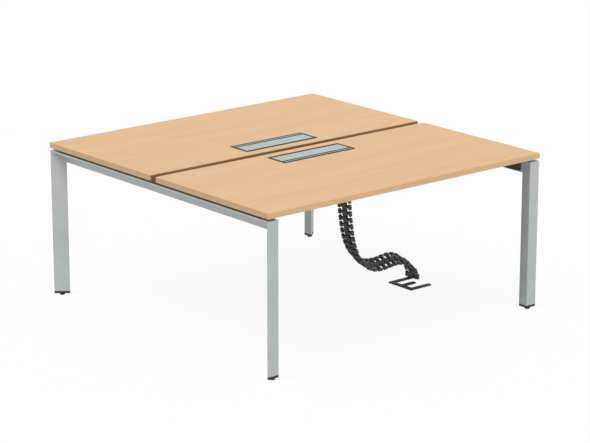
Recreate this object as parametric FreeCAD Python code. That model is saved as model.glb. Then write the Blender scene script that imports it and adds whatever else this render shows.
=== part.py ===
"""Two-person bench desk: two worktops on mitred end frames, cable flaps, tray and cable spine.

Millimetres. The origin is on the floor under the middle of the desk, X runs along the
worktops, the front user sits on the -Y side and Z points up.
"""
import math
import os

import FreeCAD
import Part
from FreeCAD import Vector

# Worktops
DESK_LENGTH = 1600.0
WORKTOP_DEPTH = 780.0
WORKTOP_GAP = 40.0
WORKTOP_THICKNESS = 25.0
WORKTOP_TOP = 740.0
BAND_THICKNESS = 2.0

# End frames of bevelled tube
FLOAT_GAP = 11.0
FRAME_INSET = 2.0
TUBE_WIDTH = 57.0
LEG_DEPTH = 54.0
BEAM_DEPTH = 60.0
LEG_LIP = 6.5
TUBE_RADIUS = 2.5
TUBE_WALL = 2.0

# Levelling feet
PAD_RADIUS = 12.0
PAD_HEIGHT = 7.0
PAD_CHAMFER = 1.5
PAD_SOCKET_DEPTH = 4.5
PAD_TO_CAP = 2.0
FOOT_INSET_X = 35.0
FOOT_INSET_Y = 17.0
STEM_RADIUS = 4.0
STEM_LENGTH = 57.0
STEM_RUNNING_CLEARANCE = 0.05
STEM_FREE_CLEARANCE = 0.4
CAP_HEIGHT = 11.0
CAP_FLOOR = 4.0
CAP_PLUG_HEIGHT = 25.0
CAP_PLUG_CLEARANCE = 0.3
INSERT_RADIUS = 7.0

# Support rails inside the end beams
RAIL_THICKNESS = 3.0
RAIL_SHOW_BELOW = 9.0
RAIL_FLANGE = 40.0
RAIL_LIP_INSET = 3.0
RAIL_END_INSET = 62.0
RAIL_BOLT_RADIUS = 3.0
RAIL_BOLT_SHARES = (0.3, 0.88)
WORKTOP_SCREW_SHARES = (0.15, 0.64, 0.88)

# Beams along the desk
BEAM_HEIGHT = 50.0
BEAM_WIDTH = 30.0
BEAM_WALL = 2.0
BEAM_INSET = 370.0
BEAM_PAD_HEIGHT = 4.0
BEAM_PAD_LENGTH = 60.0
BEAM_PAD_PITCH = 450.0
BEAM_PADS = 3
END_PLATE_THICKNESS = 5.0
END_PLATE_MARGIN = 30.0
BEAM_BOLT_RADIUS = 4.0
BEAM_BOLT_OFFSET = 30.0

# Fasteners
BOLT_DROP = 20.0
BOLT_HOLE_CLEARANCE = 0.3
BOLT_TIP = 2.0
NUT_HEIGHT = 8.0
HEAD_RADIUS_RATIO = 1.9
HEAD_HEIGHT_RATIO = 1.1
SCREW_RADIUS = 2.0
SCREW_BITE = 15.0
SCREW_CLEARANCE = 0.05

# Cable flaps
FLAP_LENGTH = 420.0
FLAP_DEPTH = 124.0
FLAP_FROM_GAP = 52.0
FLAP_RIM_HEIGHT = 2.5
FLAP_RIM_OVERLAP = 7.0
FLAP_SKIRT_CLEARANCE = 0.5
FLAP_SKIRT_WALL = 2.0
LID_THICKNESS = 3.0
LID_SINK = 1.0
LID_HINGE_SLOT = 4.5
LID_DEPTH = 78.0
LID_END_CLEARANCE = 1.5
LEDGE_WIDTH = 6.0
LEDGE_HEIGHT = 4.0
LEDGE_SETBACK = 12.0
HINGE_SETBACK = 4.0
HINGE_DROP = 3.0
HINGE_PIN_RADIUS = 2.0
HINGE_RUNNING_CLEARANCE = 0.05
KNUCKLE_RADIUS = 3.5
KNUCKLE_LENGTH = 10.0
CARRIER_WIDTH = 11.0
CARRIER_HEIGHT = 8.0
CARRIER_RISE = 1.5
BRISTLE_THICKNESS = 2.5
BRISTLE_DROP = 2.0
BRISTLE_ROOT = 5.0
BRISTLE_TIP_CLEARANCE = 0.7

# Cable tray
TRAY_LENGTH = 900.0
TRAY_WIDTH = 300.0
TRAY_HEIGHT = 60.0
TRAY_SHEET = 1.5
TRAY_DROP = 90.0
HANGER_PITCH = 700.0
HANGER_WIDTH = 30.0
HANGER_SHEET = 2.0
HANGER_FLANGE = 36.0

# Cable spine
SPINE_Y = -98.0
SPINE_TOP_X = 231.0
SPINE_FOOT_X = 669.0
SPINE_ROUTE = [
    (232.0, 454.0),
    (243.0, 357.0),
    (273.0, 237.0),
    (339.0, 148.0),
    (443.0, 117.0),
    (550.0, 126.0),
    (631.0, 88.0),
]
SPINE_ROLL = -26.0
LINK_PITCH = 32.0
LINK_WIDTH = 88.0
LINK_DEPTH = 15.0
LINK_HEIGHT = 27.0
LINK_CORNER = 5.0
LINK_WALL = 3.0
LINK_HOOP_HEIGHT = 10.0
LINK_BAR_WIDTH = 12.0
LINK_BAR_THICKNESS = 11.0
LINK_BAR_TAPER = 2.0
LINK_HUB_RADIUS = 13.0
SOCKET_DEPTH = 5.0
BALL_RADIUS = 5.0
BALL_CLEARANCE = 0.3
NECK_RADIUS = 2.2
MOUTH_RADIUS = 5.2
THROAT_RADIUS = 4.0
SPINE_PLATE = 3.0
SPINE_PLATE_WIDTH = 76.0
SPINE_PLATE_DEPTH = 48.0
SPINE_SCREW_OFFSET = 17.0
OUTLET_WIDTH = 16.0
OUTLET_DEPTH = 12.0
OUTLET_OFFSET = 21.5
SMALL_SCREW_RADIUS = 1.8
SMALL_SCREW_TIP = 2.0
SPINE_FOOT_FLOOR = 8.0
FOOT_SCREW_OFFSET = 4.5
FOOT_SCREW_BITE = 5.0

# Floor plate of the spine
BASE_THICKNESS = 7.0
BASE_STRIP = 21.0
BASE_SPAN = 160.0
BASE_BACK_X = 535.0
BASE_REAR_Y = -77.0
BASE_REAR_PRONG = 155.0
BASE_MIDDLE_PRONG = 95.0
BASE_FRONT_PRONG = 130.0

# Worked out from the sizes above
DESK_DEPTH = 2 * WORKTOP_DEPTH + WORKTOP_GAP
WORKTOP_UNDER = WORKTOP_TOP - WORKTOP_THICKNESS
FRAME_TOP = WORKTOP_UNDER - FLOAT_GAP
FRAME_DEPTH = DESK_DEPTH - 2 * FRAME_INSET
MITRE_SLOPE = BEAM_DEPTH / LEG_DEPTH
CAP_BOTTOM = PAD_HEIGHT + PAD_TO_CAP
LEG_BOTTOM = CAP_BOTTOM + CAP_HEIGHT
STEM_BOTTOM = PAD_HEIGHT - PAD_SOCKET_DEPTH
RAIL_FACE_X = DESK_LENGTH / 2 - TUBE_WIDTH - RAIL_THICKNESS
RAIL_BOTTOM = FRAME_TOP - BEAM_DEPTH + RAIL_SHOW_BELOW
BOLT_Z = FRAME_TOP - BOLT_DROP
BEAM_TOP = WORKTOP_UNDER - BEAM_PAD_HEIGHT
BEAM_Y = -DESK_DEPTH / 2 + BEAM_INSET
FLAP_GAP_EDGE = -WORKTOP_GAP / 2 - FLAP_FROM_GAP
FLAP_RIM = FLAP_RIM_OVERLAP + FLAP_SKIRT_CLEARANCE + FLAP_SKIRT_WALL
FLAP_WELL_X = FLAP_LENGTH / 2 - FLAP_RIM
FLAP_WELL_GAP_Y = FLAP_GAP_EDGE - FLAP_RIM
FLAP_WELL_USER_Y = FLAP_GAP_EDGE - FLAP_DEPTH + FLAP_RIM
LID_UNDER = WORKTOP_TOP + FLAP_RIM_HEIGHT - LID_SINK - LID_THICKNESS
LID_X = FLAP_WELL_X - LID_END_CLEARANCE
LID_GAP_Y = FLAP_WELL_GAP_Y - LID_HINGE_SLOT
LID_USER_Y = LID_GAP_Y - LID_DEPTH
HINGE_Y = LID_GAP_Y - HINGE_SETBACK
HINGE_Z = LID_UNDER - HINGE_DROP
TRAY_BOTTOM = WORKTOP_UNDER - TRAY_DROP
HANGER_SCREW_Y = TRAY_WIDTH / 2 + HANGER_SHEET + HANGER_FLANGE / 2
LINK_GAP = LINK_PITCH - LINK_HEIGHT
SPINE_TOP_Z = TRAY_BOTTOM - SPINE_PLATE - LINK_GAP - SOCKET_DEPTH
SPINE_FOOT_TOP = BASE_THICKNESS + LINK_HEIGHT
SPINE_FOOT_Z = SPINE_FOOT_TOP - SOCKET_DEPTH
CORNERS = {
    "front_left": (-1, -1),
    "front_right": (1, -1),
    "rear_left": (-1, 1),
    "rear_right": (1, 1),
}
X_AXIS = Vector(1, 0, 0)
Y_AXIS = Vector(0, 1, 0)
Z_AXIS = Vector(0, 0, 1)
ORIGIN = Vector(0, 0, 0)


def block(x, y, z):
    """Box between the (low, high) pairs of each axis."""
    low = Vector(min(x), min(y), min(z))
    return Part.makeBox(abs(x[1] - x[0]), abs(y[1] - y[0]), abs(z[1] - z[0]), low)


def rod(radius, start, axis, length):
    """Cylinder from a start point along an axis."""
    return Part.makeCylinder(radius, length, start, axis)


def flipped(shape, axis):
    """Mirror image through the middle of the desk."""
    return shape.mirror(ORIGIN, axis)


def both(shape, axis):
    """A list with the shape and its mirror image."""
    return [shape, flipped(shape, axis)]


def joined(shapes):
    """One solid from touching shapes."""
    return shapes[0].multiFuse(shapes[1:]).removeSplitter()


def headed(radius, seat, axis, grip):
    """Bolt or screw: the head stands on its seat and the shank runs along the axis."""
    head_height = radius * HEAD_HEIGHT_RATIO
    head_start = seat - axis * head_height
    head = rod(radius * HEAD_RADIUS_RATIO, head_start, axis, head_height)
    return joined([head, rod(radius, seat, axis, grip)])


def inset_polygon(points, margin):
    """Corners of an anticlockwise polygon moved inwards by a margin."""
    result = []
    for index, corner in enumerate(points):
        before = (corner - points[index - 1]).normalize()
        after = (points[(index + 1) % len(points)] - corner).normalize()
        inward = Vector(-before.y, before.x, 0)
        along = (after - before) * (margin / (after.dot(inward)))
        result.append(corner + along)
    return result


def rounded_face(points, radius):
    """Polygon in the XY plane with every corner rounded."""
    starts = []
    middles = []
    ends = []
    for index, corner in enumerate(points):
        back = (points[index - 1] - corner).normalize()
        ahead = (points[(index + 1) % len(points)] - corner).normalize()
        half_angle = back.getAngle(ahead) / 2
        bisector = (back + ahead).normalize()
        reach = radius / math.tan(half_angle)
        to_centre = radius / math.sin(half_angle)
        starts.append(corner + back * reach)
        middles.append(corner + bisector * (to_centre - radius))
        ends.append(corner + ahead * reach)
    edges = []
    for index, end in enumerate(ends):
        edges.append(Part.Arc(starts[index], middles[index], end).toShape())
        edges.append(Part.LineSegment(end, starts[(index + 1) % len(starts)]).toShape())
    return Part.Face(Part.Wire(edges))


def tube_corners(depth):
    """Section of the frame tube, from its outer corner: flat front, flat inside, bevelled back."""
    lip = LEG_LIP * depth / LEG_DEPTH
    return [
        Vector(0, 0, 0),
        Vector(TUBE_WIDTH, 0, 0),
        Vector(TUBE_WIDTH, depth, 0),
        Vector(0, lip, 0),
    ]


def tube_core_corners(depth, clearance=0.0):
    """Section of the space inside the frame tube."""
    return inset_polygon(tube_corners(depth), TUBE_WALL + clearance)


def tube_core_radius():
    """Rounding inside the tube, limited by its wall."""
    return max(TUBE_RADIUS - TUBE_WALL, TUBE_WALL / 4)


def tube(depth, length):
    """Hollow frame tube along Z."""
    outside = rounded_face(tube_corners(depth), TUBE_RADIUS).extrude(Z_AXIS * length)
    inside = rounded_face(tube_core_corners(depth), tube_core_radius()).extrude(Z_AXIS * length)
    return outside.cut(inside)


def mitre_wedge(keep_leg):
    """Wedge above or below the mitre plane of a frame corner, in the corner's own frame."""
    reach = 2 * LEG_DEPTH
    rise = reach * MITRE_SLOPE
    if keep_leg:
        third = Vector(-TUBE_WIDTH, reach, FRAME_TOP + rise)
    else:
        third = Vector(-TUBE_WIDTH, -reach, FRAME_TOP - rise)
    first = Vector(-TUBE_WIDTH, -reach, FRAME_TOP + rise)
    second = Vector(-TUBE_WIDTH, reach, FRAME_TOP - rise)
    face = Part.Face(Part.makePolygon([first, second, third, first]))
    return face.extrude(X_AXIS * (3 * TUBE_WIDTH))


def at_corner(shape, corner):
    """Move a piece from the corner's own frame, X and Y inwards, to its desk corner."""
    side_x, side_y = CORNERS[corner]
    placed = shape.copy()
    if side_x > 0:
        placed = flipped(placed, X_AXIS)
    if side_y > 0:
        placed = flipped(placed, Y_AXIS)
    placed.translate(Vector(side_x * DESK_LENGTH / 2, side_y * FRAME_DEPTH / 2, 0))
    return placed


def leg():
    """Leg tube with its mitred top."""
    post = tube(LEG_DEPTH, FRAME_TOP - LEG_BOTTOM)
    post.translate(Vector(0, 0, LEG_BOTTOM))
    return post.cut(mitre_wedge(True))


def end_beam():
    """Left end beam: a like tube laid along Y and mitred at both ends."""
    beam = tube(BEAM_DEPTH, FRAME_DEPTH)
    beam.rotate(ORIGIN, X_AXIS, -90)
    beam.translate(Vector(0, 0, FRAME_TOP))
    wedge = mitre_wedge(False)
    far_wedge = flipped(wedge, Y_AXIS)
    far_wedge.translate(Vector(0, FRAME_DEPTH, 0))
    beam = beam.cut(wedge).cut(far_wedge)
    beam.translate(Vector(-DESK_LENGTH / 2, -FRAME_DEPTH / 2, 0))
    return beam.cut(Part.makeCompound(bolt_holes(left_bolts())))


def foot_axis(height):
    """Point on the levelling foot's axis in the corner's own frame."""
    return Vector(FOOT_INSET_X, FOOT_INSET_Y, height)


def leg_cap():
    """Plastic end cap with a plug that fills the tube and holds the threaded insert."""
    plate = rounded_face(tube_corners(LEG_DEPTH), TUBE_RADIUS).extrude(Z_AXIS * CAP_HEIGHT)
    plate.translate(Vector(0, 0, CAP_BOTTOM))
    plug_corners = tube_core_corners(LEG_DEPTH, CAP_PLUG_CLEARANCE)
    plug = rounded_face(plug_corners, tube_core_radius()).extrude(Z_AXIS * CAP_PLUG_HEIGHT)
    plug.translate(Vector(0, 0, LEG_BOTTOM))
    cap = joined([plate, plug])
    through = rod(STEM_RADIUS + STEM_FREE_CLEARANCE, foot_axis(CAP_BOTTOM), Z_AXIS, CAP_HEIGHT)
    return cap.cut(through).cut(insert_blank())


def insert_blank():
    """Outside of the threaded insert."""
    start = CAP_BOTTOM + CAP_FLOOR
    return rod(INSERT_RADIUS, foot_axis(start), Z_AXIS, LEG_BOTTOM + CAP_PLUG_HEIGHT - start)


def leg_insert():
    """Threaded steel insert in a leg cap."""
    bore = rod(STEM_RADIUS + STEM_RUNNING_CLEARANCE, foot_axis(0), Z_AXIS, FRAME_TOP)
    return insert_blank().cut(bore)


def foot_pad():
    """Round floor pad with the socket that the stem turns in."""
    disc = rod(PAD_RADIUS, foot_axis(0), Z_AXIS, PAD_HEIGHT)
    rim = [edge for edge in disc.Edges if edge.BoundBox.ZMin > PAD_HEIGHT / 2]
    disc = disc.makeChamfer(PAD_CHAMFER, rim)
    socket = rod(STEM_RADIUS + STEM_RUNNING_CLEARANCE, foot_axis(STEM_BOTTOM), Z_AXIS, PAD_HEIGHT)
    return disc.cut(socket)


def foot_stem():
    """Threaded stem of a levelling foot."""
    return rod(STEM_RADIUS, foot_axis(STEM_BOTTOM), Z_AXIS, STEM_LENGTH)


def bolt_holes(bolts):
    """Clearance holes for a list of bolts."""
    return [rod(radius + BOLT_HOLE_CLEARANCE, seat, axis, grip) for radius, seat, axis, grip in bolts]


def rail_bolt_places():
    """Places along Y of one rail's bolts, on both sides of the middle."""
    half = DESK_DEPTH / 2 - RAIL_END_INSET
    return [side * share * half for share in RAIL_BOLT_SHARES for side in (-1, 1)]


def beam_bolt_places():
    """Places along Y of the bolts of both long beams at one end."""
    offsets = (-BEAM_BOLT_OFFSET, BEAM_BOLT_OFFSET)
    return [side * BEAM_Y + offset for side in (-1, 1) for offset in offsets]


def left_rail_bolts():
    """Radius, seat, axis and grip of the bolts that hold the left rail."""
    grip = RAIL_THICKNESS + TUBE_WALL + NUT_HEIGHT + BOLT_TIP
    seats = [Vector(-RAIL_FACE_X, y, BOLT_Z) for y in rail_bolt_places()]
    return [(RAIL_BOLT_RADIUS, seat, -X_AXIS, grip) for seat in seats]


def left_beam_bolts():
    """Radius, seat, axis and grip of the bolts that hold the long beams at the left end."""
    grip = END_PLATE_THICKNESS + RAIL_THICKNESS + TUBE_WALL + NUT_HEIGHT + BOLT_TIP
    seats = [Vector(-RAIL_FACE_X + END_PLATE_THICKNESS, y, BOLT_Z) for y in beam_bolt_places()]
    return [(BEAM_BOLT_RADIUS, seat, -X_AXIS, grip) for seat in seats]


def left_bolts():
    """All bolts that pass into the left end beam."""
    return left_rail_bolts() + left_beam_bolts()


def weld_nuts():
    """Nuts inside the end beams, one behind each bolt."""
    nuts = []
    inner_wall_x = -DESK_LENGTH / 2 + TUBE_WIDTH - TUBE_WALL
    for radius, seat, axis, _ in left_bolts():
        start = Vector(inner_wall_x, seat.y, seat.z)
        nut = rod(radius * HEAD_RADIUS_RATIO, start, axis, NUT_HEIGHT)
        nut = nut.cut(rod(radius + SCREW_CLEARANCE, start, axis, NUT_HEIGHT))
        nuts.extend(both(nut, X_AXIS))
    return nuts


def worktop_screw_seats():
    """Seats of the screws that pull the front worktop onto the left rail."""
    x = -RAIL_FACE_X + RAIL_FLANGE / 2
    z = WORKTOP_UNDER - RAIL_THICKNESS
    insets = [share * WORKTOP_DEPTH for share in WORKTOP_SCREW_SHARES]
    return [Vector(x, -WORKTOP_GAP / 2 - inset, z) for inset in insets]


def left_worktop_screws():
    """Screws through the left rail into the front worktop."""
    grip = RAIL_THICKNESS + SCREW_BITE
    return [headed(SCREW_RADIUS, seat, Z_AXIS, grip) for seat in worktop_screw_seats()]


def support_rail():
    """Left support rail: a folded strip that hooks over the end beam and lies along its inside."""
    half = DESK_DEPTH / 2 - RAIL_END_INSET
    y = (-half, half)
    outer_x = -RAIL_FACE_X - RAIL_THICKNESS
    lip_x = -DESK_LENGTH / 2 + RAIL_LIP_INSET
    web = block((outer_x, -RAIL_FACE_X), y, (RAIL_BOTTOM, WORKTOP_UNDER))
    flange_z = (WORKTOP_UNDER - RAIL_THICKNESS, WORKTOP_UNDER)
    flange = block((lip_x, -RAIL_FACE_X + RAIL_FLANGE), y, flange_z)
    lip = block((lip_x, lip_x + RAIL_THICKNESS), y, (FRAME_TOP, WORKTOP_UNDER))
    holes = bolt_holes(left_bolts())
    for seat in worktop_screw_seats():
        hole = rod(SCREW_RADIUS + BOLT_HOLE_CLEARANCE, seat, Z_AXIS, RAIL_THICKNESS)
        holes.extend(both(hole, Y_AXIS))
    return joined([web, flange, lip]).cut(Part.makeCompound(holes))


def long_beam():
    """Front long beam: a rectangular tube welded to an end plate at each end."""
    half = RAIL_FACE_X - END_PLATE_THICKNESS
    y = (BEAM_Y - BEAM_WIDTH / 2, BEAM_Y + BEAM_WIDTH / 2)
    z = (BEAM_TOP - BEAM_HEIGHT, BEAM_TOP)
    outside = block((-half, half), y, z)
    inner_y = (y[0] + BEAM_WALL, y[1] - BEAM_WALL)
    inside = block((-half, half), inner_y, (z[0] + BEAM_WALL, z[1] - BEAM_WALL))
    plate_y = (y[0] - END_PLATE_MARGIN, y[1] + END_PLATE_MARGIN)
    plate_z = (z[0], WORKTOP_UNDER - RAIL_THICKNESS)
    plate = block((-RAIL_FACE_X, -half), plate_y, plate_z)
    plate = plate.cut(Part.makeCompound(bolt_holes(left_beam_bolts())))
    return joined([outside.cut(inside)] + both(plate, X_AXIS))


def beam_pads():
    """Pads between the long beams and the worktops."""
    pads = []
    for index in range(BEAM_PADS):
        middle = (index - (BEAM_PADS - 1) / 2) * BEAM_PAD_PITCH
        x = (middle - BEAM_PAD_LENGTH / 2, middle + BEAM_PAD_LENGTH / 2)
        y = (BEAM_Y - BEAM_WIDTH / 2, BEAM_Y + BEAM_WIDTH / 2)
        pads.extend(both(block(x, y, (BEAM_TOP, WORKTOP_UNDER)), Y_AXIS))
    return pads


def worktop_outline(margin):
    """Front worktop's outline, drawn in by a margin."""
    half = DESK_LENGTH / 2 - margin
    y = (-DESK_DEPTH / 2 + margin, -WORKTOP_GAP / 2 - margin)
    return block((-half, half), y, (WORKTOP_UNDER, WORKTOP_TOP))


def hanger_screw_seats():
    """Seats of the screws that hold the tray hangers under the front worktop."""
    z = WORKTOP_UNDER - HANGER_SHEET
    return [Vector(side * HANGER_PITCH / 2, -HANGER_SCREW_Y, z) for side in (-1, 1)]


def worktop():
    """Front worktop board with its flap cut-out and screw holes."""
    board = worktop_outline(BAND_THICKNESS)
    half = FLAP_LENGTH / 2 - FLAP_RIM_OVERLAP
    near = FLAP_GAP_EDGE - FLAP_RIM_OVERLAP
    far = FLAP_GAP_EDGE - FLAP_DEPTH + FLAP_RIM_OVERLAP
    cutters = [block((-half, half), (near, far), (WORKTOP_UNDER, WORKTOP_TOP))]
    pilot = SCREW_RADIUS + SCREW_CLEARANCE
    for seat in worktop_screw_seats():
        start = Vector(seat.x, seat.y, WORKTOP_UNDER)
        cutters.extend(both(rod(pilot, start, Z_AXIS, SCREW_BITE), X_AXIS))
    for seat in hanger_screw_seats():
        cutters.append(rod(pilot, Vector(seat.x, seat.y, WORKTOP_UNDER), Z_AXIS, SCREW_BITE))
    return board.cut(Part.makeCompound(cutters))


def edge_band():
    """Four strips of edging around the front worktop."""
    half = DESK_LENGTH / 2
    user = -DESK_DEPTH / 2
    gap = -WORKTOP_GAP / 2
    z = (WORKTOP_UNDER, WORKTOP_TOP)
    strips = [
        block((-half, half), (user, user + BAND_THICKNESS), z),
        block((-half, half), (gap - BAND_THICKNESS, gap), z),
    ]
    end = block((-half, -half + BAND_THICKNESS), (user + BAND_THICKNESS, gap - BAND_THICKNESS), z)
    return strips + both(end, X_AXIS)


def hinge_rod(radius, x_start, length):
    """Rod on the flap's hinge axis at the left end."""
    return rod(radius, Vector(x_start, HINGE_Y, HINGE_Z), X_AXIS, length)


def skirt_outline(margin):
    """Outline of the flap frame's skirt, drawn in by a margin."""
    half = FLAP_WELL_X + FLAP_SKIRT_WALL - margin
    y = (FLAP_WELL_GAP_Y + FLAP_SKIRT_WALL - margin, FLAP_WELL_USER_Y - FLAP_SKIRT_WALL + margin)
    return block((-half, half), y, (WORKTOP_UNDER, WORKTOP_TOP + FLAP_RIM_HEIGHT))


def flap_frame():
    """Frame of the front cable flap: a rim on the worktop, a skirt in the cut-out and lid ledges."""
    half = FLAP_LENGTH / 2
    rim_y = (FLAP_GAP_EDGE, FLAP_GAP_EDGE - FLAP_DEPTH)
    rim = block((-half, half), rim_y, (WORKTOP_TOP, WORKTOP_TOP + FLAP_RIM_HEIGHT))
    frame = joined([rim, skirt_outline(0)]).cut(skirt_outline(FLAP_SKIRT_WALL))
    ledge_y = (HINGE_Y - LEDGE_SETBACK, LID_USER_Y)
    ledge_z = (LID_UNDER - LEDGE_HEIGHT, LID_UNDER)
    ledge = block((-FLAP_WELL_X, -FLAP_WELL_X + LEDGE_WIDTH), ledge_y, ledge_z)
    frame = joined([frame] + both(ledge, X_AXIS))
    bore = hinge_rod(HINGE_PIN_RADIUS, -FLAP_WELL_X - FLAP_SKIRT_WALL, FLAP_SKIRT_WALL)
    return frame.cut(Part.makeCompound(both(bore, X_AXIS)))


def flap_lid():
    """Front flap lid: a flat plate."""
    z = (LID_UNDER, LID_UNDER + LID_THICKNESS)
    return block((-LID_X, LID_X), (LID_GAP_Y, LID_USER_Y), z)


def lid_knuckles():
    """Two hinge knuckles fixed under the ends of the front flap lid."""
    barrel = hinge_rod(KNUCKLE_RADIUS, -LID_X, KNUCKLE_LENGTH)
    web_y = (HINGE_Y - KNUCKLE_RADIUS, HINGE_Y + KNUCKLE_RADIUS)
    web = block((-LID_X, -LID_X + KNUCKLE_LENGTH), web_y, (HINGE_Z, LID_UNDER))
    bore = hinge_rod(HINGE_PIN_RADIUS + HINGE_RUNNING_CLEARANCE, -LID_X, KNUCKLE_LENGTH)
    return both(joined([barrel, web]).cut(bore).cut(flap_lid()), X_AXIS)


def hinge_pins():
    """Two pins from the flap frame into the lid's knuckles."""
    length = FLAP_SKIRT_WALL + LID_END_CLEARANCE + KNUCKLE_LENGTH
    return both(hinge_rod(HINGE_PIN_RADIUS, -FLAP_WELL_X - FLAP_SKIRT_WALL, length), X_AXIS)


def bristles():
    """Row of bristles that closes the slot between the carrier and the front flap's lid."""
    root_y = FLAP_WELL_USER_Y + CARRIER_WIDTH - BRISTLE_ROOT
    top = WORKTOP_TOP - BRISTLE_DROP
    z = (top - BRISTLE_THICKNESS, top)
    return block((-LID_X, LID_X), (root_y, LID_USER_Y - BRISTLE_TIP_CLEARANCE), z)


def brush_carrier():
    """Bar along the user side of the front flap with a groove that holds the bristles."""
    y = (FLAP_WELL_USER_Y, FLAP_WELL_USER_Y + CARRIER_WIDTH)
    top = WORKTOP_TOP + CARRIER_RISE
    bar = block((-LID_X, LID_X), y, (top - CARRIER_HEIGHT, top))
    return bar.cut(bristles())


def spine_outlets(z):
    """Two cable holes beside the spine's neck, through the given heights."""
    holes = []
    x = (SPINE_TOP_X - OUTLET_DEPTH / 2, SPINE_TOP_X + OUTLET_DEPTH / 2)
    for side in (-1, 1):
        middle = SPINE_Y + side * OUTLET_OFFSET
        holes.append(block(x, (middle - OUTLET_WIDTH / 2, middle + OUTLET_WIDTH / 2), z))
    return holes


def spine_screw_seats():
    """Seats on the tray floor of the screws that hold the spine's hanger."""
    z = TRAY_BOTTOM + TRAY_SHEET
    return [Vector(SPINE_TOP_X + side * SPINE_SCREW_OFFSET, SPINE_Y, z) for side in (-1, 1)]


def cable_tray():
    """Open trough of folded sheet under the gap between the worktops."""
    x = (-TRAY_LENGTH / 2, TRAY_LENGTH / 2)
    half = TRAY_WIDTH / 2
    outside = block(x, (-half, half), (TRAY_BOTTOM, TRAY_BOTTOM + TRAY_HEIGHT))
    trough_y = (-half + TRAY_SHEET, half - TRAY_SHEET)
    trough = block(x, trough_y, (TRAY_BOTTOM + TRAY_SHEET, TRAY_BOTTOM + TRAY_HEIGHT))
    cutters = spine_outlets((TRAY_BOTTOM, TRAY_BOTTOM + TRAY_SHEET))
    for seat in spine_screw_seats():
        cutters.append(rod(SMALL_SCREW_RADIUS + SCREW_CLEARANCE, seat, -Z_AXIS, TRAY_SHEET))
    return outside.cut(trough).cut(Part.makeCompound(cutters))


def tray_hanger():
    """Left hanger: a folded strap that goes under the tray and up to both worktops."""
    x = (-HANGER_PITCH / 2 - HANGER_WIDTH / 2, -HANGER_PITCH / 2 + HANGER_WIDTH / 2)
    inner = TRAY_WIDTH / 2
    outer = inner + HANGER_SHEET
    low = TRAY_BOTTOM - HANGER_SHEET
    floor = block(x, (-outer, outer), (low, TRAY_BOTTOM))
    wall = block(x, (-outer, -inner), (low, WORKTOP_UNDER))
    flange_z = (WORKTOP_UNDER - HANGER_SHEET, WORKTOP_UNDER)
    flange = block(x, (-outer - HANGER_FLANGE, -inner), flange_z)
    seat = hanger_screw_seats()[0]
    flange = flange.cut(rod(SCREW_RADIUS + BOLT_HOLE_CLEARANCE, seat, Z_AXIS, HANGER_SHEET))
    return joined([floor] + both(wall, Y_AXIS) + both(flange, Y_AXIS))


def front_hanger_screws():
    """Screws of both hangers into the front worktop."""
    grip = HANGER_SHEET + SCREW_BITE
    return [headed(SCREW_RADIUS, seat, Z_AXIS, grip) for seat in hanger_screw_seats()]


def slab(depth, width, corner, z):
    """Upright solid with a rounded rectangular outline, depth along X and width along Y."""
    x = depth / 2
    y = width / 2
    outline = [Vector(-x, -y, z[0]), Vector(x, -y, z[0]), Vector(x, y, z[0]), Vector(-x, y, z[0])]
    return rounded_face(outline, corner).extrude(Z_AXIS * (z[1] - z[0]))


def socket_hollow():
    """Ball socket with its flared mouth, centred on the origin and open upwards."""
    ball = Part.makeSphere(BALL_RADIUS + BALL_CLEARANCE)
    throat_z = BALL_RADIUS / 2
    flare_start = Vector(0, 0, throat_z)
    flare = Part.makeCone(THROAT_RADIUS, MOUTH_RADIUS, SOCKET_DEPTH - throat_z, flare_start, Z_AXIS)
    return ball.fuse(flare)


def link_hoop(z):
    """Rounded rectangular hoop round the cable chambers."""
    core_depth = LINK_DEPTH - 2 * LINK_WALL
    core_width = LINK_WIDTH - 2 * LINK_WALL
    core_corner = max(LINK_CORNER - LINK_WALL, LINK_WALL / 4)
    core = slab(core_depth, core_width, core_corner, z)
    return slab(LINK_DEPTH, LINK_WIDTH, LINK_CORNER, z).cut(core)


def link_bar(low, high):
    """Bar at one end of a vertebra, lower towards its outside."""
    outer = -LINK_WIDTH / 2
    inner = outer + LINK_BAR_THICKNESS
    x = -LINK_BAR_WIDTH / 2
    corners = [
        Vector(x, inner, low),
        Vector(x, outer, low + LINK_BAR_TAPER),
        Vector(x, outer, high - LINK_BAR_TAPER),
        Vector(x, inner, high),
    ]
    return Part.Face(Part.makePolygon(corners + corners[:1])).extrude(X_AXIS * LINK_BAR_WIDTH)


def vertebra_cage():
    """Hoop, end bars and socketed hub of a vertebra, the socket's centre at the origin."""
    low = SOCKET_DEPTH - LINK_HEIGHT
    middle = (low + SOCKET_DEPTH) / 2
    thin = (middle - LINK_HOOP_HEIGHT / 2, middle + LINK_HOOP_HEIGHT / 2)
    bar = link_bar(low, SOCKET_DEPTH)
    hub = rod(LINK_HUB_RADIUS, Vector(0, 0, low), Z_AXIS, LINK_HEIGHT)
    return joined([link_hoop(thin), hub] + both(bar, Y_AXIS)).cut(socket_hollow())


def ball_on_neck(top, drop):
    """Neck that runs down from the top height and ends in a ball at the drop below the origin."""
    neck = rod(NECK_RADIUS, Vector(0, 0, -drop), Z_AXIS, top + drop)
    return neck.fuse(Part.makeSphere(BALL_RADIUS, Vector(0, 0, -drop)))


def spine_joints():
    """Evenly spaced ball centres along the spine, from its hanger down to its foot."""
    points = [(SPINE_TOP_X, SPINE_TOP_Z)] + SPINE_ROUTE + [(SPINE_FOOT_X, SPINE_FOOT_Z)]
    curve = Part.BSplineCurve()
    curve.interpolate([Vector(x, SPINE_Y, z) for x, z in points])
    count = round(curve.length() / LINK_PITCH)
    return curve.discretize(Number=count + 1), curve.length() / count


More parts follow.
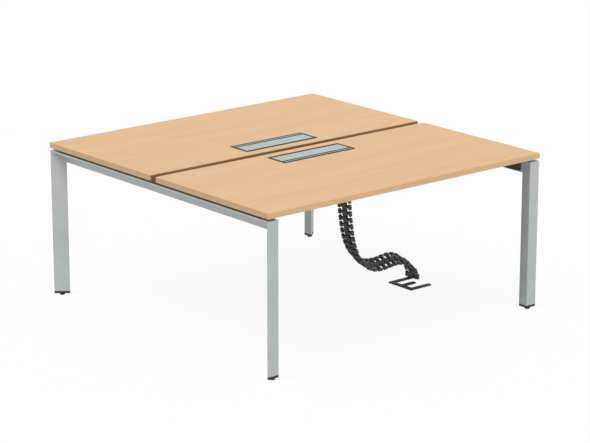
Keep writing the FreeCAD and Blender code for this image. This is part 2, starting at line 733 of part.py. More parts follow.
def spine_links():
    """Vertebrae of the cable spine, each ball in the socket of the next, rolled where it levels out."""
    joints, pitch = spine_joints()
    link = joined([vertebra_cage(), ball_on_neck(SOCKET_DEPTH - LINK_HEIGHT, pitch)])
    links = []
    for joint, following in zip(joints, joints[1:]):
        along = (following - joint).normalize()
        placed = link.copy()
        placed.rotate(ORIGIN, Z_AXIS, SPINE_ROLL * along.x ** 2)
        placed.rotate(ORIGIN, Y_AXIS, math.degrees(math.atan2(-along.x, -along.z)))
        placed.translate(joint)
        links.append(placed)
    return links


def spine_hanger():
    """Plate under the tray with the neck and ball that carry the spine."""
    x = (SPINE_TOP_X - SPINE_PLATE_DEPTH / 2, SPINE_TOP_X + SPINE_PLATE_DEPTH / 2)
    y = (SPINE_Y - SPINE_PLATE_WIDTH / 2, SPINE_Y + SPINE_PLATE_WIDTH / 2)
    low = TRAY_BOTTOM - SPINE_PLATE
    cutters = spine_outlets((low, TRAY_BOTTOM))
    for seat in spine_screw_seats():
        start = Vector(seat.x, seat.y, TRAY_BOTTOM)
        cutters.append(rod(SMALL_SCREW_RADIUS + SCREW_CLEARANCE, start, -Z_AXIS, SPINE_PLATE))
    plate = block(x, y, (low, TRAY_BOTTOM)).cut(Part.makeCompound(cutters))
    neck = ball_on_neck(low - SPINE_TOP_Z, 0)
    neck.translate(Vector(SPINE_TOP_X, SPINE_Y, SPINE_TOP_Z))
    return joined([plate, neck])


def spine_hanger_screws():
    """Screws from the tray floor into the spine's hanger."""
    grip = TRAY_SHEET + SPINE_PLATE + SMALL_SCREW_TIP
    return [headed(SMALL_SCREW_RADIUS, seat, -Z_AXIS, grip) for seat in spine_screw_seats()]


def base_screw_starts():
    """Undersides of the screws that hold the spine's foot on its floor plate."""
    y = BASE_REAR_Y - BASE_STRIP / 2
    return [Vector(SPINE_FOOT_X + side * FOOT_SCREW_OFFSET, y, 0) for side in (-1, 1)]


def base_screw(start):
    """Screw with its head sunk in the floor plate."""
    head_height = SMALL_SCREW_RADIUS * HEAD_HEIGHT_RATIO
    seat = start + Z_AXIS * head_height
    return headed(SMALL_SCREW_RADIUS, seat, Z_AXIS, BASE_THICKNESS - head_height + FOOT_SCREW_BITE)


def spine_foot():
    """Lowest socket of the spine, closed below and screwed to the floor plate."""
    low = SOCKET_DEPTH - LINK_HEIGHT
    floor = slab(LINK_DEPTH, LINK_WIDTH, LINK_CORNER, (low, low + SPINE_FOOT_FLOOR))
    foot = joined([vertebra_cage(), floor])
    foot.translate(Vector(SPINE_FOOT_X, SPINE_Y, SPINE_FOOT_Z))
    holes = []
    for start in base_screw_starts():
        floor_point = Vector(start.x, start.y, BASE_THICKNESS)
        holes.append(rod(SMALL_SCREW_RADIUS + SCREW_CLEARANCE, floor_point, Z_AXIS, FOOT_SCREW_BITE))
    return foot.cut(Part.makeCompound(holes))


def spine_base():
    """Flat floor plate: a back strip with three prongs, the rear one under the spine's foot."""
    z = (0, BASE_THICKNESS)
    front = BASE_REAR_Y - BASE_SPAN
    middle = (BASE_REAR_Y + front) / 2
    strips = [block((BASE_BACK_X, BASE_BACK_X + BASE_STRIP), (front, BASE_REAR_Y), z)]
    prongs = [
        (BASE_REAR_Y - BASE_STRIP / 2, BASE_REAR_PRONG),
        (middle, BASE_MIDDLE_PRONG),
        (front + BASE_STRIP / 2, BASE_FRONT_PRONG),
    ]
    for y, length in prongs:
        strip_y = (y - BASE_STRIP / 2, y + BASE_STRIP / 2)
        strips.append(block((BASE_BACK_X, BASE_BACK_X + length), strip_y, z))
    plate = joined(strips)
    for start in base_screw_starts():
        head_height = SMALL_SCREW_RADIUS * HEAD_HEIGHT_RATIO
        sink_radius = SMALL_SCREW_RADIUS * HEAD_RADIUS_RATIO + BOLT_HOLE_CLEARANCE
        plate = plate.cut(rod(sink_radius, start, Z_AXIS, head_height))
        plate = plate.cut(rod(SMALL_SCREW_RADIUS + BOLT_HOLE_CLEARANCE, start, Z_AXIS, BASE_THICKNESS))
    return plate


def front_and_rear(name, shape):
    """Nodes for a front piece and its mirror image at the rear."""
    return {name + "_front": shape, name + "_rear": flipped(shape, Y_AXIS)}


def left_and_right(name, shape):
    """Nodes for a left piece and its mirror image at the right."""
    return {name + "_left": shape, name + "_right": flipped(shape, X_AXIS)}


def group(shapes):
    """Separate solids in one node."""
    return Part.makeCompound(shapes)


def mirrored_group(shapes, *axes):
    """Separate solids with their mirror images through each axis in turn."""
    for axis in axes:
        shapes = shapes + [flipped(shape, axis) for shape in shapes]
    return group(shapes)


def frame_nodes():
    """End frames, feet, rails and long beams."""
    nodes = {}
    for corner in CORNERS:
        nodes["leg_" + corner] = at_corner(leg(), corner)
        nodes["leg_cap_" + corner] = at_corner(leg_cap(), corner)
        nodes["foot_pad_" + corner] = at_corner(foot_pad(), corner)
        nodes["foot_stem_" + corner] = at_corner(foot_stem(), corner)
    nodes["leg_inserts"] = group([at_corner(leg_insert(), corner) for corner in CORNERS])
    nodes.update(left_and_right("end_beam", end_beam()))
    nodes.update(left_and_right("support_rail", support_rail()))
    nodes.update(front_and_rear("long_beam", long_beam()))
    nodes["rail_bolts"] = mirrored_group([headed(*bolt) for bolt in left_rail_bolts()], X_AXIS)
    nodes["beam_bolts"] = mirrored_group([headed(*bolt) for bolt in left_beam_bolts()], X_AXIS)
    nodes["weld_nuts"] = group(weld_nuts())
    nodes["beam_pads"] = group(beam_pads())
    return nodes


def top_nodes():
    """Worktops and their cable flaps."""
    nodes = front_and_rear("worktop", worktop())
    nodes.update(front_and_rear("edge_band", group(edge_band())))
    nodes["worktop_screws"] = mirrored_group(left_worktop_screws(), X_AXIS, Y_AXIS)
    nodes.update(front_and_rear("flap_frame", flap_frame()))
    nodes.update(front_and_rear("flap_lid", flap_lid()))
    nodes.update(front_and_rear("lid_knuckles", group(lid_knuckles())))
    nodes.update(front_and_rear("hinge_pins", group(hinge_pins())))
    nodes.update(front_and_rear("brush_carrier", brush_carrier()))
    nodes.update(front_and_rear("bristles", bristles()))
    return nodes


def cable_nodes():
    """Tray and cable spine."""
    nodes = {"cable_tray": cable_tray()}
    nodes.update(left_and_right("tray_hanger", tray_hanger()))
    nodes["tray_screws"] = mirrored_group(front_hanger_screws(), Y_AXIS)
    nodes["spine_hanger"] = spine_hanger()
    nodes["spine_hanger_screws"] = group(spine_hanger_screws())
    nodes["spine_links"] = group(spine_links())
    nodes["spine_foot"] = spine_foot()
    nodes["spine_base"] = spine_base()
    nodes["spine_base_screws"] = group([base_screw(start) for start in base_screw_starts()])
    return nodes


def main():
    """Write every node to its own file."""
    os.makedirs("parts", exist_ok=True)
    nodes = {**frame_nodes(), **top_nodes(), **cable_nodes()}
    for name, shape in nodes.items():
        shape.exportStep(os.path.join("parts", name + ".step"))
        solids = len(shape.Solids)
        print(f"{name}: {solids} solid(s), {shape.Volume / 1000:.1f} cm3, valid {shape.isValid()}")
    print(len(nodes), "nodes")


main()
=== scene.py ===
"""Two-person bench desk: procedural finishes, fine pieces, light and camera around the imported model."""
import math
import random
from collections import namedtuple

import bpy
from mathutils import Matrix, Vector


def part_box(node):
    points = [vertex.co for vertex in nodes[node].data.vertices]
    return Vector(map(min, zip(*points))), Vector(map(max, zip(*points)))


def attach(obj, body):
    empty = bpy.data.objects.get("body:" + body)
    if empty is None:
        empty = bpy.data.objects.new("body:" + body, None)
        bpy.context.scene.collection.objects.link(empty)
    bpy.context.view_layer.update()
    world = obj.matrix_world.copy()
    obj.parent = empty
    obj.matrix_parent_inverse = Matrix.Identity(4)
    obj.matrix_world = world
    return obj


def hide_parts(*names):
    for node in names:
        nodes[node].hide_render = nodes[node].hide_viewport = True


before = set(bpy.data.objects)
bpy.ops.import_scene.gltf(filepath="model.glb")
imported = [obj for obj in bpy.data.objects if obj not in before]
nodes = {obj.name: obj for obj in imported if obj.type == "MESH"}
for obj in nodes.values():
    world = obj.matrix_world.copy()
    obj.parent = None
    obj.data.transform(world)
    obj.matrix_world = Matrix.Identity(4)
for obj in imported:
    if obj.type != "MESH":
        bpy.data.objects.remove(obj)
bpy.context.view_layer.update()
CORNERS = ("front_left", "front_right", "rear_left", "rear_right")
SIDES = ("front", "rear")

# Camera: metres, degrees and millimetres of lens and sensor
CAMERA_PLACE = (-6.8844, -8.2488, 3.4366)
CAMERA_AZIMUTH = -39.905
CAMERA_ELEVATION = 15.844
CAMERA_LENS = 146.92
CAMERA_CLIP_END = 200.0
SENSOR_WIDTH = 36.0

# Light: directions to the lamps, spreads in degrees
AMBIENT_COLOUR = (0.97, 0.985, 1.0, 1.0)
AMBIENT_STRENGTH = 0.45
KEY_FROM = (-0.33, 0.0, 0.944)
KEY_STRENGTH = 1.74
KEY_SPREAD = 30.0
FILL_FROM = (-0.08, -0.99, 0.10)
FILL_STRENGTH = 0.95
FILL_SPREAD = 12.0
WHITE = (1.0, 1.0, 1.0, 1.0)
WHITE_STRENGTH = 1.0

# Floor: metres, then the share of light it throws back and the share of shadow it shows
FLOOR_SIZE = 80.0
FLOOR_DROP = 0.0003
FLOOR_BOUNCE = 0.42
FLOOR_SHADOW_SHARE = 0.08

# Threads of the feet in metres. A crest factor above 1 flattens the crests
THREAD_RADIUS = 0.004
THREAD_DEPTH = 0.0007
THREAD_PITCH = 0.00125
THREAD_STEPS = 8
THREAD_SIDES = 28
THREAD_CREST = 1.25

# Bristles in metres, with the tip's share of the radius and the shortest one's share of the length
BRISTLE_RADIUS = 0.00016
BRISTLE_PITCH = 0.00055
BRISTLE_ROWS = 3
BRISTLE_SPREAD = 0.0004
BRISTLE_TIP = 0.6
BRISTLE_SHORTEST = 0.95
BRISTLE_SECTION = ((1, 0), (0, 1), (-1, 0), (0, -1))

# Edge breaks in metres and degrees
BAND_BREAK = 0.0005
SHEET_BREAK = 0.0004
CAP_BREAK = 0.0006
BREAK_ANGLE = 35.0
BREAK_SEGMENTS = 2

# Just under the 2 mm thickness of the edging strips
BAND_MARGIN = 0.0019
# A face looks along an axis if its normal reaches further than this along it
FACING = 0.5

# Noise: the range in which most of its values lie, its usual settings, and coordinates without stretch
NOISE_LOW = 0.3
NOISE_HIGH = 0.7
NOISE_DETAIL = 4.0
NOISE_ROUGHNESS = 0.5
EVEN = (1.0, 1.0, 1.0)

# Wood: noise of each kind of streak, with its stretch along and across the grain
Streak = namedtuple("Streak", "along across scale detail roughness")
WOOD_BANDS = Streak(0.8, 9.0, 1.4, 6.0, 0.6)
WOOD_FIBRES = Streak(7.0, 190.0, 1.0, 5.0, 0.65)
WOOD_FLECKS = Streak(42.0, 520.0, 1.0, 2.0, 0.5)
FIBRE_DARK = (0.93, 0.92, 0.90, 1.0)
FIBRE_LIGHT = (1.03, 1.03, 1.04, 1.0)
FLECK_START = 0.62
FLECK_END = 0.72
FLECK_SHARE = 0.34
WOOD_GLOSS = 0.08
WOOD_ROUGHNESS = (0.40, 0.52)
# Factors on those stretches: streaks along X as given, and drawn out along Y for the end strips
GRAIN_ALONG_X = (1.0, 1.0, 1.0)
GRAIN_ALONG_Y = (9.0, 1.0 / 9.0, 1.0)

# Display colours of the wood: pale band, darker band and fleck
Wood = namedtuple("Wood", "pale mid fleck stretch")
WOODS = {
    "beech_decor": Wood((232, 192, 148), (226, 184, 139), (200, 155, 112), GRAIN_ALONG_X),
    "beech_edging_long": Wood((243, 202, 156), (236, 194, 148), (208, 163, 119), GRAIN_ALONG_X),
    "beech_edging_end": Wood((243, 202, 156), (236, 194, 148), (208, 163, 119), GRAIN_ALONG_Y),
    # Darker edging for the faces towards the gap between the boards: painted shade of the gap
    "beech_edging_gap": Wood((198, 158, 110), (190, 149, 102), (168, 127, 84), GRAIN_ALONG_X),
}

# Powder coats: the scale of the orange peel is the grain, the flakes' contrast the sparkle
Coat = namedtuple("Coat", "colour gloss roughness grain sparkle")
COATS = {
    "silver_coat": Coat((198, 206, 204), 0.40, 0.38, 700.0, 0.05),
    "black_coat": Coat((44, 45, 44), 0.20, 0.52, 900.0, 0.12),
    "rail_coat": Coat((84, 84, 77), 0.20, 0.52, 900.0, 0.12),
    "base_coat": Coat((58, 60, 58), 0.20, 0.52, 900.0, 0.12),
}
CLOUD_SCALE = 5.0
CLOUD_DETAIL = 3.0
CLOUD_TINTS = (0.94, 1.05)
FLAKE_SCALE = 2600.0
FLAKE_DETAIL = 1.0
PEEL_DETAIL = 3.0
PEEL_ROUGHNESS = 0.6
COAT_ROUGHNESS_SPREAD = (-0.05, 0.07)

# Moulded plastics: the scale of the eroded surface is the grain
Plastic = namedtuple("Plastic", "colour roughness grain")
PLASTICS = {
    "black_plastic": Plastic((50, 54, 53), 0.50, 1400.0),
    "spine_plastic": Plastic((74, 80, 74), 0.42, 1100.0),
    "pad_rubber": Plastic((34, 34, 34), 0.75, 800.0),
}
PLASTIC_GLOSS = 0.25
FLOW_SCALE = 22.0
FLOW_TINTS = (0.85, 1.18)
PLASTIC_ROUGHNESS_SPREAD = (-0.06, 0.08)

# Brushed metals: the stretch draws the noise out into lines
Metal = namedtuple("Metal", "colour metallic roughness stretch")
METALS = {
    "zinc_steel": Metal((190, 192, 194), 0.90, 0.34, (300.0, 300.0, 300.0)),
    "dark_aluminium": Metal((26, 29, 27), 0.0, 0.50, (8.0, 700.0, 700.0)),
    "silver_aluminium": Metal((175, 187, 188), 0.30, 0.42, (6.0, 900.0, 900.0)),
}
METAL_GLOSS = 0.2
LINE_SCALE = 1.0
LINE_DETAIL = 6.0
LINE_ROUGHNESS = 0.7
LINE_TINTS = (0.90, 1.07)
SMUDGE_SCALE = 14.0
SMUDGE_DETAIL = 3.0
SMUDGE_TINTS = (0.97, 1.02)
METAL_ROUGHNESS_SPREAD = (-0.07, 0.09)

# Bristle nylon
NYLON_GLOSS = 0.5
NYLON_STRETCH = (1800.0, 20.0, 900.0)
NYLON_SCALE = 1.0
NYLON_DETAIL = 2.0
NYLON_DARK = (26, 28, 28)
NYLON_LIGHT = (64, 67, 66)
NYLON_ROUGHNESS = (0.35, 0.55)

# Bumps: strength, and height in metres
WOOD_BUMP = (0.05, 0.0002)
COAT_BUMP = (0.12, 0.0003)
PLASTIC_BUMP = (0.25, 0.0002)
METAL_BUMP = (0.10, 0.0001)
NYLON_BUMP = (0.10, 0.0001)


def linear(red, green, blue):
    """Colour for a shader socket from 0 to 255 display values, by the sRGB curve."""
    result = []
    for value in (red, green, blue):
        share = value / 255
        result.append(share / 12.92 if share <= 0.04045 else ((share + 0.055) / 1.055) ** 2.4)
    return (*result, 1.0)


def tinted(colour, factor):
    """Colour made darker or lighter by a factor."""
    return tuple(min(channel * factor, 1.0) for channel in colour[:3]) + (1.0,)


def grey(level):
    return (level, level, level, 1.0)


def around(value, spread):
    """Lower and upper number around a value."""
    below, above = spread
    return value + below, value + above


class Finish:
    """A material with one Principled shader and helpers that add nodes in front of it."""

    def __init__(self, name, **constants):
        self.material = bpy.data.materials.new(name)
        self.material.use_nodes = True
        self.tree = self.material.node_tree
        self.shader = next(n for n in self.tree.nodes if n.type == "BSDF_PRINCIPLED")
        for socket, value in constants.items():
            self.shader.inputs[socket.replace("_", " ")].default_value = value

    def add(self, kind, **settings):
        node = self.tree.nodes.new(kind)
        for name, value in settings.items():
            setattr(node, name, value)
        return node

    def wire(self, source, target):
        self.tree.links.new(source, target)

    def place(self, scale):
        """Object coordinates stretched by a scale."""
        coordinates = self.add("ShaderNodeTexCoord")
        mapping = self.add("ShaderNodeMapping")
        mapping.inputs["Scale"].default_value = scale
        self.wire(coordinates.outputs["Object"], mapping.inputs["Vector"])
        return mapping.outputs["Vector"]

    def noise(self, stretch, scale, detail=NOISE_DETAIL, roughness=NOISE_ROUGHNESS):
        """Noise on object coordinates that are stretched first."""
        node = self.add("ShaderNodeTexNoise")
        node.inputs["Scale"].default_value = scale
        node.inputs["Detail"].default_value = detail
        node.inputs["Roughness"].default_value = roughness
        self.wire(self.place(stretch), node.inputs["Vector"])
        return node.outputs["Fac"]

    def cells(self, scale):
        node = self.add("ShaderNodeTexVoronoi")
        node.inputs["Scale"].default_value = scale
        self.wire(self.place(EVEN), node.inputs["Vector"])
        return node.outputs["Distance"]

    def ramp(self, value, low_colour, high_colour):
        """Colour that goes from one to the other over the range of a noise."""
        node = self.add("ShaderNodeValToRGB")
        first, second = node.color_ramp.elements
        first.position = NOISE_LOW
        first.color = low_colour
        second.position = NOISE_HIGH
        second.color = high_colour
        self.wire(value, node.inputs["Fac"])
        return node.outputs["Color"]

    def span(self, value, low, high, start=NOISE_LOW, end=NOISE_HIGH):
        """Value spread between two numbers."""
        node = self.add("ShaderNodeMapRange")
        sockets = ("From Min", "From Max", "To Min", "To Max")
        for socket, number in zip(sockets, (start, end, low, high)):
            node.inputs[socket].default_value = number
        self.wire(value, node.inputs["Value"])
        return node.outputs["Result"]

    def mixer(self, blend):
        """Colour mix node with its two colour inputs and its colour output."""
        node = self.add("ShaderNodeMix", data_type="RGBA", blend_type=blend)
        first, second = [socket for socket in node.inputs if socket.type == "RGBA"]
        output = next(socket for socket in node.outputs if socket.type == "RGBA")
        return node, first, second, output

    def product(self, colour, factor):
        """One colour times another."""
        node, first, second, output = self.mixer("MULTIPLY")
        node.inputs[0].default_value = 1.0
        self.wire(colour, first)
        self.wire(factor, second)
        return output

    def overlay(self, share, colour, constant):
        """A constant colour laid over another by a share that varies."""
        node, first, second, output = self.mixer("MIX")
        self.wire(share, node.inputs[0])
        self.wire(colour, first)
        second.default_value = constant
        return output

    def bump(self, height, size):
        strength, distance = size
        node = self.add("ShaderNodeBump")
        node.inputs["Strength"].default_value = strength
        node.inputs["Distance"].default_value = distance
        self.wire(height, node.inputs["Height"])
        self.wire(node.outputs["Normal"], self.shader.inputs["Normal"])

    def colour(self, output):
        self.wire(output, self.shader.inputs["Base Color"])

    def roughness(self, output):
        self.wire(output, self.shader.inputs["Roughness"])


def wood(name):
    """Beech decor: slow bands, fine fibres and short darker flecks along one direction."""
    kind = WOODS[name]
    finish = Finish(name, Specular_IOR_Level=WOOD_GLOSS)

    def streaks(streak):
        along, across, up = kind.stretch
        stretch = (along * streak.along, across * streak.across, up * streak.across)
        return finish.noise(stretch, streak.scale, streak.detail, streak.roughness)

    fibres = streaks(WOOD_FIBRES)
    base = finish.ramp(streaks(WOOD_BANDS), linear(*kind.mid), linear(*kind.pale))
    toned = finish.product(base, finish.ramp(fibres, FIBRE_DARK, FIBRE_LIGHT))
    fleck_share = finish.span(streaks(WOOD_FLECKS), 0.0, FLECK_SHARE, FLECK_START, FLECK_END)
    finish.colour(finish.overlay(fleck_share, toned, linear(*kind.fleck)))
    finish.roughness(finish.span(fibres, *WOOD_ROUGHNESS))
    finish.bump(fibres, WOOD_BUMP)
    return finish.material


def powder_coat(name):
    """Sprayed coat: fine orange peel, a faint cloud in the colour and metal flakes."""
    coat = COATS[name]
    finish = Finish(name, Specular_IOR_Level=coat.gloss)
    cloud = finish.noise(EVEN, CLOUD_SCALE, CLOUD_DETAIL)
    flakes = finish.noise(EVEN, FLAKE_SCALE, FLAKE_DETAIL)
    peel = finish.noise(EVEN, coat.grain, PEEL_DETAIL, PEEL_ROUGHNESS)
    clouded = finish.ramp(cloud, *[tinted(linear(*coat.colour), factor) for factor in CLOUD_TINTS])
    flaked = finish.ramp(flakes, grey(1.0 - coat.sparkle), grey(1.0 + coat.sparkle))
    finish.colour(finish.product(clouded, flaked))
    finish.roughness(finish.span(peel, *around(coat.roughness, COAT_ROUGHNESS_SPREAD)))
    finish.bump(peel, COAT_BUMP)
    return finish.material


def moulded_plastic(name):
    """Moulded plastic with an eroded grain and faint flow marks."""
    plastic = PLASTICS[name]
    finish = Finish(name, Specular_IOR_Level=PLASTIC_GLOSS)
    flow = finish.noise(EVEN, FLOW_SCALE)
    finish.colour(finish.ramp(flow, *[tinted(linear(*plastic.colour), factor) for factor in FLOW_TINTS]))
    finish.roughness(finish.span(flow, *around(plastic.roughness, PLASTIC_ROUGHNESS_SPREAD)))
    finish.bump(finish.cells(plastic.grain), PLASTIC_BUMP)
    return finish.material


def brushed_metal(name):
    """Brushed, anodised or zinc-plated metal: fine lines and faint smudges."""
    metal = METALS[name]
    finish = Finish(name, Metallic=metal.metallic, Specular_IOR_Level=METAL_GLOSS)
    lines = finish.noise(metal.stretch, LINE_SCALE, LINE_DETAIL, LINE_ROUGHNESS)
    smudge = finish.noise(EVEN, SMUDGE_SCALE, SMUDGE_DETAIL)
    brushed = finish.ramp(lines, *[tinted(linear(*metal.colour), factor) for factor in LINE_TINTS])
    smudged = finish.ramp(smudge, *[grey(level) for level in SMUDGE_TINTS])
    finish.colour(finish.product(brushed, smudged))
    finish.roughness(finish.span(lines, *around(metal.roughness, METAL_ROUGHNESS_SPREAD)))
    finish.bump(lines, METAL_BUMP)
    return finish.material


def bristle_nylon():
    """Black nylon bristles, each a little lighter or darker than the next."""
    finish = Finish("bristle_nylon", Specular_IOR_Level=NYLON_GLOSS)
    strands = finish.noise(NYLON_STRETCH, NYLON_SCALE, NYLON_DETAIL)
    finish.colour(finish.ramp(strands, linear(*NYLON_DARK), linear(*NYLON_LIGHT)))
    finish.roughness(finish.span(strands, *NYLON_ROUGHNESS))
    finish.bump(strands, NYLON_BUMP)
    return finish.material


def set_materials(piece, materials):
    piece.data.materials.clear()
    for material in materials:
        piece.data.materials.append(material)


def paint(names, material):
    """Put one material on all the faces of these nodes."""
    for name in names:
        set_materials(nodes[name], [material])
        for polygon in nodes[name].data.polygons:
            polygon.material_index = 0


def soften(names, width):
    """Break the sharp edges of these nodes with a small bevel."""
    for name in names:
        bevel = nodes[name].modifiers.new("edge_break", "BEVEL")
        bevel.width = width
        bevel.segments = BREAK_SEGMENTS
        bevel.limit_method = "ANGLE"
        bevel.angle_limit = math.radians(BREAK_ANGLE)
        bevel.harden_normals = False


def with_sides(stem):
    return [stem + "_" + side for side in SIDES]


def with_ends(stem):
    return [stem + "_left", stem + "_right"]


def with_corners(stem):
    return [stem + "_" + corner for corner in CORNERS]


def mesh_piece(name, vertices, faces, material, smooth=False):
    """New object of one material from vertices and faces."""
    mesh = bpy.data.meshes.new(name)
    mesh.from_pydata(vertices, [], faces)
    mesh.update()
    for polygon in mesh.polygons:
        polygon.use_smooth = smooth
    mesh.materials.append(material)
    piece = bpy.data.objects.new(name, mesh)
    bpy.context.scene.collection.objects.link(piece)
    return piece


def threaded_stem(corner, material):
    """Screw thread in place of a plain levelling stem."""
    low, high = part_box("foot_stem_" + corner)
    middle = (low + high) / 2
    step = THREAD_PITCH / THREAD_STEPS
    count = int((high.z - low.z) / step)
    vertices = []
    for level in range(count + 1):
        z = low.z + (high.z - low.z) * level / count
        end_taper = min(level, count - level, THREAD_STEPS) / THREAD_STEPS
        for side in range(THREAD_SIDES):
            share = side / THREAD_SIDES
            phase = ((z - low.z) / THREAD_PITCH - share) % 1.0
            height = 1.0 - abs(2.0 * phase - 1.0)
            crest = min(height * THREAD_CREST, 1.0) * end_taper
            radius = THREAD_RADIUS - THREAD_DEPTH * (1.0 - crest)
            angle = 2.0 * math.pi * share
            vertices.append((middle.x + radius * math.cos(angle), middle.y + radius * math.sin(angle), z))
    faces = []
    for level in range(count):
        for side in range(THREAD_SIDES):
            following = (side + 1) % THREAD_SIDES
            first = level * THREAD_SIDES
            second = first + THREAD_SIDES
            faces.append((first + side, first + following, second + following, second + side))
    faces.append(tuple(reversed(range(THREAD_SIDES))))
    faces.append(tuple(range(count * THREAD_SIDES, (count + 1) * THREAD_SIDES)))
    piece = mesh_piece("thread_" + corner, vertices, faces, material, smooth=True)
    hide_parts("foot_stem_" + corner)
    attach(piece, "stem_" + corner)


def bristle_row(side, material):
    """Loose bristles in place of the plain bristle bar of one flap."""
    dice = random.Random(side)
    low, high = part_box("bristles_" + side)
    root, tip = (low.y, high.y) if side == "front" else (high.y, low.y)
    corners = len(BRISTLE_SECTION)
    vertices = []
    faces = []
    count = int((high.x - low.x) / BRISTLE_PITCH)
    for row in range(BRISTLE_ROWS):
        level = low.z + (high.z - low.z) * (row + 0.5) / BRISTLE_ROWS
        for index in range(count):
            x = low.x + BRISTLE_RADIUS * 2 + (index + 0.5 * (row % 2)) * BRISTLE_PITCH
            lean = dice.uniform(-BRISTLE_SPREAD, BRISTLE_SPREAD)
            rise = dice.uniform(-BRISTLE_SPREAD, BRISTLE_SPREAD)
            end = root + (tip - root) * dice.uniform(BRISTLE_SHORTEST, 1.0)
            start = len(vertices)
            root_ring = (root, 0.0, 0.0, BRISTLE_RADIUS)
            tip_ring = (end, lean, rise, BRISTLE_RADIUS * BRISTLE_TIP)
            for y, shift, lift, radius in (root_ring, tip_ring):
                for dx, dz in BRISTLE_SECTION:
                    vertices.append((x + shift + dx * radius, y, level + lift + dz * radius))
            near = [start + corner for corner in range(corners)]
            far = [start + corners + corner for corner in range(corners)]
            for corner in range(corners):
                after = (corner + 1) % corners
                faces.append((near[corner], near[after], far[after], far[corner]))
            faces.append(tuple(far))
            faces.append(tuple(reversed(near)))
    piece = mesh_piece("bristle_row_" + side, vertices, faces, material)
    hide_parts("bristles_" + side)
    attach(piece, "desk")


def edge_band_finish(side, along_x, along_y, gap_painted_shade):
    """Grain along each strip: the end strips take the second material, the face towards the gap the third,
    a darker wood that paints the shade of the gap.
    """
    name = "edge_band_" + side
    towards_gap = 1.0 if side == "front" else -1.0
    mesh = nodes[name].data
    set_materials(nodes[name], (along_x, along_y, gap_painted_shade))
    low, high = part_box(name)
    for polygon in mesh.polygons:
        points = [mesh.vertices[index].co for index in polygon.vertices]
        inner = all(low.y + BAND_MARGIN < point.y < high.y - BAND_MARGIN for point in points)
        # Faces towards the gap get the darker wood as painted shade of the gap
        if polygon.normal.y * towards_gap > FACING:
            polygon.material_index = 2
        elif inner and abs(polygon.normal.y) < FACING:
            polygon.material_index = 1
        else:
            polygon.material_index = 0


def lid_finish(name, face, slot_shade):
    """Brushed top and underside, with dark side faces all round that paint the shade of the slots between
    lid, carrier and frame.
    """
    set_materials(nodes[name], (face, slot_shade))
    for polygon in nodes[name].data.polygons:
        polygon.material_index = 1 if abs(polygon.normal.z) < FACING else 0


def look_matrix(place, azimuth, elevation):
    """World matrix of a camera that looks along an azimuth and down by an elevation."""
    turn = math.radians(azimuth)
    tilt = math.radians(elevation)
    level = math.cos(tilt)
    ahead = Vector((-math.sin(turn) * level, math.cos(turn) * level, -math.sin(tilt)))
    right = ahead.cross(Vector((0, 0, 1))).normalized()
    up = right.cross(ahead)
    matrix = Matrix((right, up, -ahead)).transposed().to_4x4()
    matrix.translation = Vector(place)
    return matrix


def add_camera():
    camera = bpy.data.objects.new("camera", bpy.data.cameras.new("camera"))
    camera.data.sensor_fit = "HORIZONTAL"
    camera.data.sensor_width = SENSOR_WIDTH
    camera.data.lens = CAMERA_LENS
    camera.data.clip_end = CAMERA_CLIP_END
    camera.matrix_world = look_matrix(CAMERA_PLACE, CAMERA_AZIMUTH, CAMERA_ELEVATION)
    bpy.context.scene.collection.objects.link(camera)
    bpy.context.scene.camera = camera


def add_lamp(name, source, strength, spread):
    """Wide soft light from a direction."""
    lamp = bpy.data.lights.new(name, "SUN")
    lamp.energy = strength
    lamp.angle = math.radians(spread)
    piece = bpy.data.objects.new(name, lamp)
    piece.rotation_euler = (-Vector(source)).to_track_quat("-Z", "Y").to_euler()
    bpy.context.scene.collection.objects.link(piece)


def seen_directly(tree):
    """1 for camera, glossy and transmission rays, 0 for the rays that light the object."""
    path = tree.nodes.new("ShaderNodeLightPath")
    total = path.outputs["Is Camera Ray"]
    for name in ("Is Glossy Ray", "Is Transmission Ray"):
        larger = tree.nodes.new("ShaderNodeMath")
        larger.operation = "MAXIMUM"
        tree.links.new(total, larger.inputs[0])
        tree.links.new(path.outputs[name], larger.inputs[1])
        total = larger.outputs["Value"]
    return total


def choose_by_ray(tree, lighting, shown, output):
    """One shader for the rays that light the object, another for the rays that show the surface."""
    choice = tree.nodes.new("ShaderNodeMixShader")
    tree.links.new(seen_directly(tree), choice.inputs[0])
    tree.links.new(lighting.outputs[0], choice.inputs[1])
    tree.links.new(shown.outputs[0], choice.inputs[2])
    tree.links.new(choice.outputs[0], output.inputs[0])


def add_world():
    """Even light on the object, with plain white behind it."""
    world = bpy.data.worlds.new("studio")
    bpy.context.scene.world = world
    world.use_nodes = True
    tree = world.node_tree
    tree.nodes.clear()
    ambient = tree.nodes.new("ShaderNodeBackground")
    ambient.inputs["Color"].default_value = AMBIENT_COLOUR
    ambient.inputs["Strength"].default_value = AMBIENT_STRENGTH
    white = tree.nodes.new("ShaderNodeBackground")
    white.inputs["Color"].default_value = WHITE
    white.inputs["Strength"].default_value = WHITE_STRENGTH
    choose_by_ray(tree, ambient, white, tree.nodes.new("ShaderNodeOutputWorld"))


def floor_finish():
    """Matt floor that looks white to the camera and keeps a share of the shadow."""
    material = bpy.data.materials.new("studio_floor")
    material.use_nodes = True
    tree = material.node_tree
    tree.nodes.clear()
    bounce = tree.nodes.new("ShaderNodeBsdfDiffuse")
    bounce.inputs["Color"].default_value = grey(FLOOR_BOUNCE)
    white = tree.nodes.new("ShaderNodeBsdfDiffuse")
    white.inputs["Color"].default_value = WHITE
    glow = tree.nodes.new("ShaderNodeEmission")
    glow.inputs["Strength"].default_value = WHITE_STRENGTH
    shown = tree.nodes.new("ShaderNodeMixShader")
    shown.inputs[0].default_value = FLOOR_SHADOW_SHARE
    tree.links.new(glow.outputs[0], shown.inputs[1])
    tree.links.new(white.outputs[0], shown.inputs[2])
    choose_by_ray(tree, bounce, shown, tree.nodes.new("ShaderNodeOutputMaterial"))
    return material


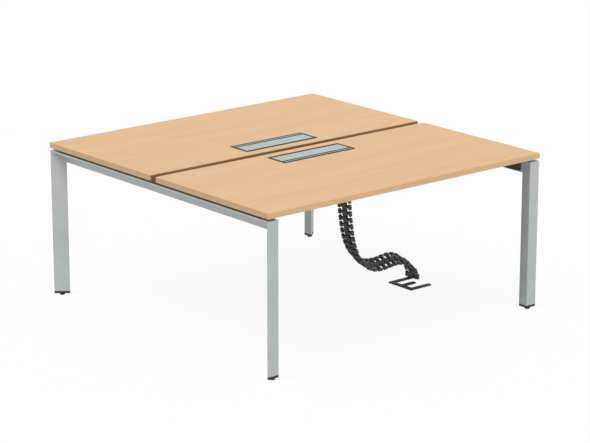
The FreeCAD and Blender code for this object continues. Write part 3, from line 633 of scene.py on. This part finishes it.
def add_floor():
    half = FLOOR_SIZE / 2
    outline = ((-half, -half), (half, -half), (half, half), (-half, half))
    corners = [(x, y, -FLOOR_DROP) for x, y in outline]
    floor = mesh_piece("floor", corners, [(0, 1, 2, 3)], floor_finish())


def finish_nodes(zinc):
    """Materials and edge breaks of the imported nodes."""
    black = powder_coat("black_coat")
    dark = brushed_metal("dark_aluminium")
    lid = brushed_metal("silver_aluminium")
    # The third edging is the darker wood that paints the shade in the gap between the boards
    edging = [wood("beech_edging_" + kind) for kind in ("long", "end", "gap")]
    paint(with_sides("worktop"), wood("beech_decor"))
    for side in SIDES:
        edge_band_finish(side, *edging)
    paint(with_corners("leg") + with_ends("end_beam"), powder_coat("silver_coat"))
    paint(with_ends("support_rail"), powder_coat("rail_coat"))
    paint(with_sides("long_beam") + with_ends("tray_hanger") + ["cable_tray"], black)
    paint(["spine_base"], powder_coat("base_coat"))
    paint(with_corners("leg_cap") + with_corners("foot_pad"), moulded_plastic("black_plastic"))
    paint(["spine_links", "spine_foot", "spine_hanger"], moulded_plastic("spine_plastic"))
    paint(["beam_pads"], moulded_plastic("pad_rubber"))
    paint(["leg_inserts", "rail_bolts", "beam_bolts", "weld_nuts", "worktop_screws", "tray_screws"], zinc)
    paint(["spine_hanger_screws", "spine_base_screws"] + with_sides("hinge_pins"), zinc)
    paint(with_sides("flap_frame") + with_sides("lid_knuckles"), dark)
    # Side faces of lids and carriers take the dark aluminium as painted shade of the slots round them
    for name in with_sides("flap_lid") + with_sides("brush_carrier"):
        lid_finish(name, lid, dark)
    soften(with_sides("edge_band"), BAND_BREAK)
    soften(with_sides("flap_frame") + with_sides("flap_lid") + with_sides("brush_carrier"), SHEET_BREAK)
    soften(with_ends("support_rail") + ["cable_tray", "spine_base"] + with_ends("tray_hanger"), SHEET_BREAK)
    soften(with_corners("leg_cap"), CAP_BREAK)


zinc_finish = brushed_metal("zinc_steel")
finish_nodes(zinc_finish)
for corner_name in CORNERS:
    threaded_stem(corner_name, zinc_finish)
bristle_finish = bristle_nylon()
for side_name in SIDES:
    bristle_row(side_name, bristle_finish)
add_camera()
add_world()
add_lamp("key_light", KEY_FROM, KEY_STRENGTH, KEY_SPREAD)
add_lamp("fill_light", FILL_FROM, FILL_STRENGTH, FILL_SPREAD)
add_floor()
bpy.context.scene.view_settings.view_transform = "Standard"
